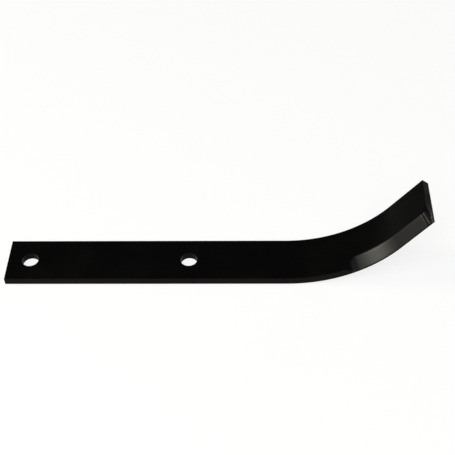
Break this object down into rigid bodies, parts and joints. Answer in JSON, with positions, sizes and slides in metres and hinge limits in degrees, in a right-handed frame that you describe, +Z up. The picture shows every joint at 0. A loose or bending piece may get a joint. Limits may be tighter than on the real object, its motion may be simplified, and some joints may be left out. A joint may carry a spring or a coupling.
{
  "type": "rotary tiller blade",
  "caption": "Flat steel bar blade for a tiller, with bolt holes in a straight shank, a smooth upward bend and a bevelled cutting edge along the bend and tip.",
  "frame": {"origin": "centre of the outer bolt hole, in the shank's underside", "axes": "+X along the shank towards the bent tip, +Y across the width away from the cutting edge, +Z up out of the shank's face, the way the tip bends"},
  "size_m": [0.3233, 0.04, 0.0721],
  "materials": {
    "black_paint": "semi-gloss black paint over steel"
  },
  "bodies": {
    "root": {"tiller_blade": "black_paint"}
  },
  "joints": []
}
